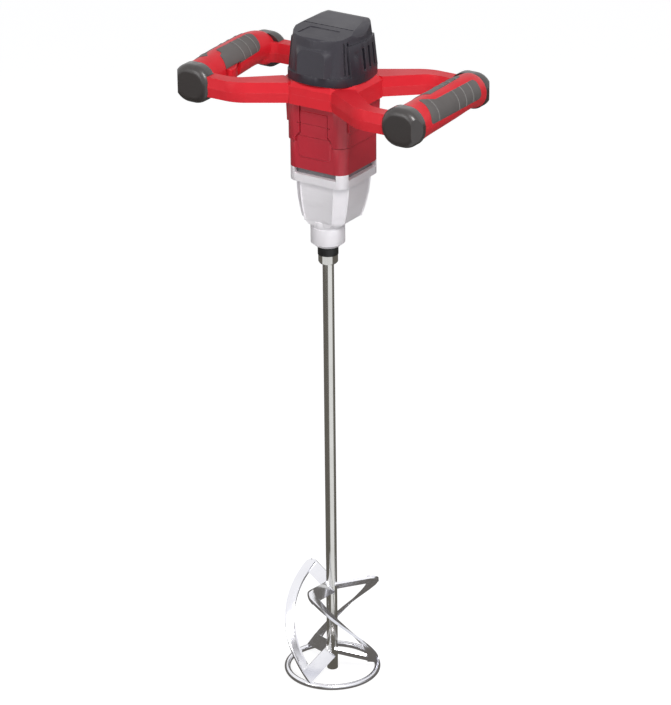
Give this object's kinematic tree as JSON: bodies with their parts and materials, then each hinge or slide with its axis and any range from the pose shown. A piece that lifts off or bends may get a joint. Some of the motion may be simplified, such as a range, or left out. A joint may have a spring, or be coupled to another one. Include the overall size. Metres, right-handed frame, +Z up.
{
  "type": "mixing drill",
  "caption": "Hand held electric mixing drill with closed side handles, a square motor head, a cast gearbox and a spiral blade paddle on a long shaft.",
  "frame": {"origin": "on the floor under the motor axis, at the middle of the overall box", "axes": "+Z up along the motor axis, -Y to the front, +X towards the grip bar without the trigger"},
  "size_m": [0.3996, 0.2, 0.9857],
  "materials": {
    "cover_plastic": "fine satin texture",
    "red_plastic": "satin sheen",
    "crimson_plastic": "satin sheen",
    "grip_rubber": "matt",
    "bumper_rubber": "matt",
    "cast_aluminium": "blasted",
    "dark_aluminium": "cast",
    "black_steel": "blackened",
    "polished_steel": "polished",
    "bright_plate": "bright plated",
    "ground_steel": "ground",
    "core_iron": "laminated",
    "copper": "varnished copper",
    "brush_brass": "plain",
    "black_plastic": "satin"
  },
  "bodies": {
    "head": {"motor_cover": "cover_plastic", "frame_upper": "red_plastic", "frame_lower": "red_plastic", "right_outer_grip": "grip_rubber", "right_inner_grip": "grip_rubber", "left_outer_grip": "grip_rubber", "left_inner_grip": "grip_rubber", "front_right_bumper": "bumper_rubber", "rear_right_bumper": "bumper_rubber", "front_left_bumper": "bumper_rubber", "rear_left_bumper": "bumper_rubber", "cable_gland": "bumper_rubber", "motor_housing": "crimson_plastic", "gearbox_housing": "cast_aluminium", "bearing_plate": "dark_aluminium", "lower_spindle_bearing": "ground_steel", "upper_spindle_bearing": "ground_steel", "oil_seal": "bumper_rubber", "intermediate_bearings": "ground_steel", "lower_armature_bearing": "ground_steel", "upper_armature_bearing": "ground_steel", "stator_core": "core_iron", "field_coils": "copper", "brush_holders": "brush_brass", "carbon_brushes": "black_plastic", "switch_module": "black_plastic", "trigger_pin": "ground_steel", "cover_screws": "ground_steel", "frame_screws": "ground_steel", "gearbox_bolts": "ground_steel"},
    "armature": {"armature_shaft": "ground_steel", "armature_core": "core_iron", "armature_windings": "copper", "commutator": "copper", "cooling_fan": "black_plastic", "motor_pinion": "ground_steel"},
    "intermediate": {"intermediate_shaft": "ground_steel", "intermediate_gear": "ground_steel", "intermediate_pinion": "ground_steel"},
    "spindle": {"output_spindle": "ground_steel", "output_gear": "ground_steel", "gear_key": "black_steel", "circlip": "black_steel", "spindle_collar": "black_steel", "paddle_hex": "polished_steel", "paddle_shaft": "polished_steel", "paddle_blade_1": "bright_plate", "paddle_blade_2": "bright_plate", "paddle_blade_3": "bright_plate", "paddle_ring": "bright_plate"},
    "trigger": {"trigger": "red_plastic"}
  },
  "joints": [
    {"name": "spindle_spin", "type": "hinge", "parent": "head", "child": "spindle", "pos_m": [0, -0.016, 0.68], "axis": [0, 0, 1], "continuous": true},
    {"name": "intermediate_spin", "type": "hinge", "parent": "head", "child": "intermediate", "pos_m": [0.01998, -0.00097, 0.75], "axis": [0, 0, 1], "continuous": true},
    {"name": "armature_spin", "type": "hinge", "parent": "head", "child": "armature", "pos_m": [0, 0, 0.85], "axis": [0, 0, 1], "continuous": true},
    {"name": "trigger_pull", "type": "hinge", "parent": "head", "child": "trigger", "pos_m": [-0.1605, -0.009, 0.8935], "axis": [0, 0, -1], "range_deg": [0, 9], "stiffness_Nm_per_rad": 2, "springref_deg": -8.59}
  ],
  "couplings": [
    {"joint": "intermediate_spin", "follows": "spindle_spin", "ratio": -3.1667},
    {"joint": "armature_spin", "follows": "spindle_spin", "ratio": 12.667}
  ]
}
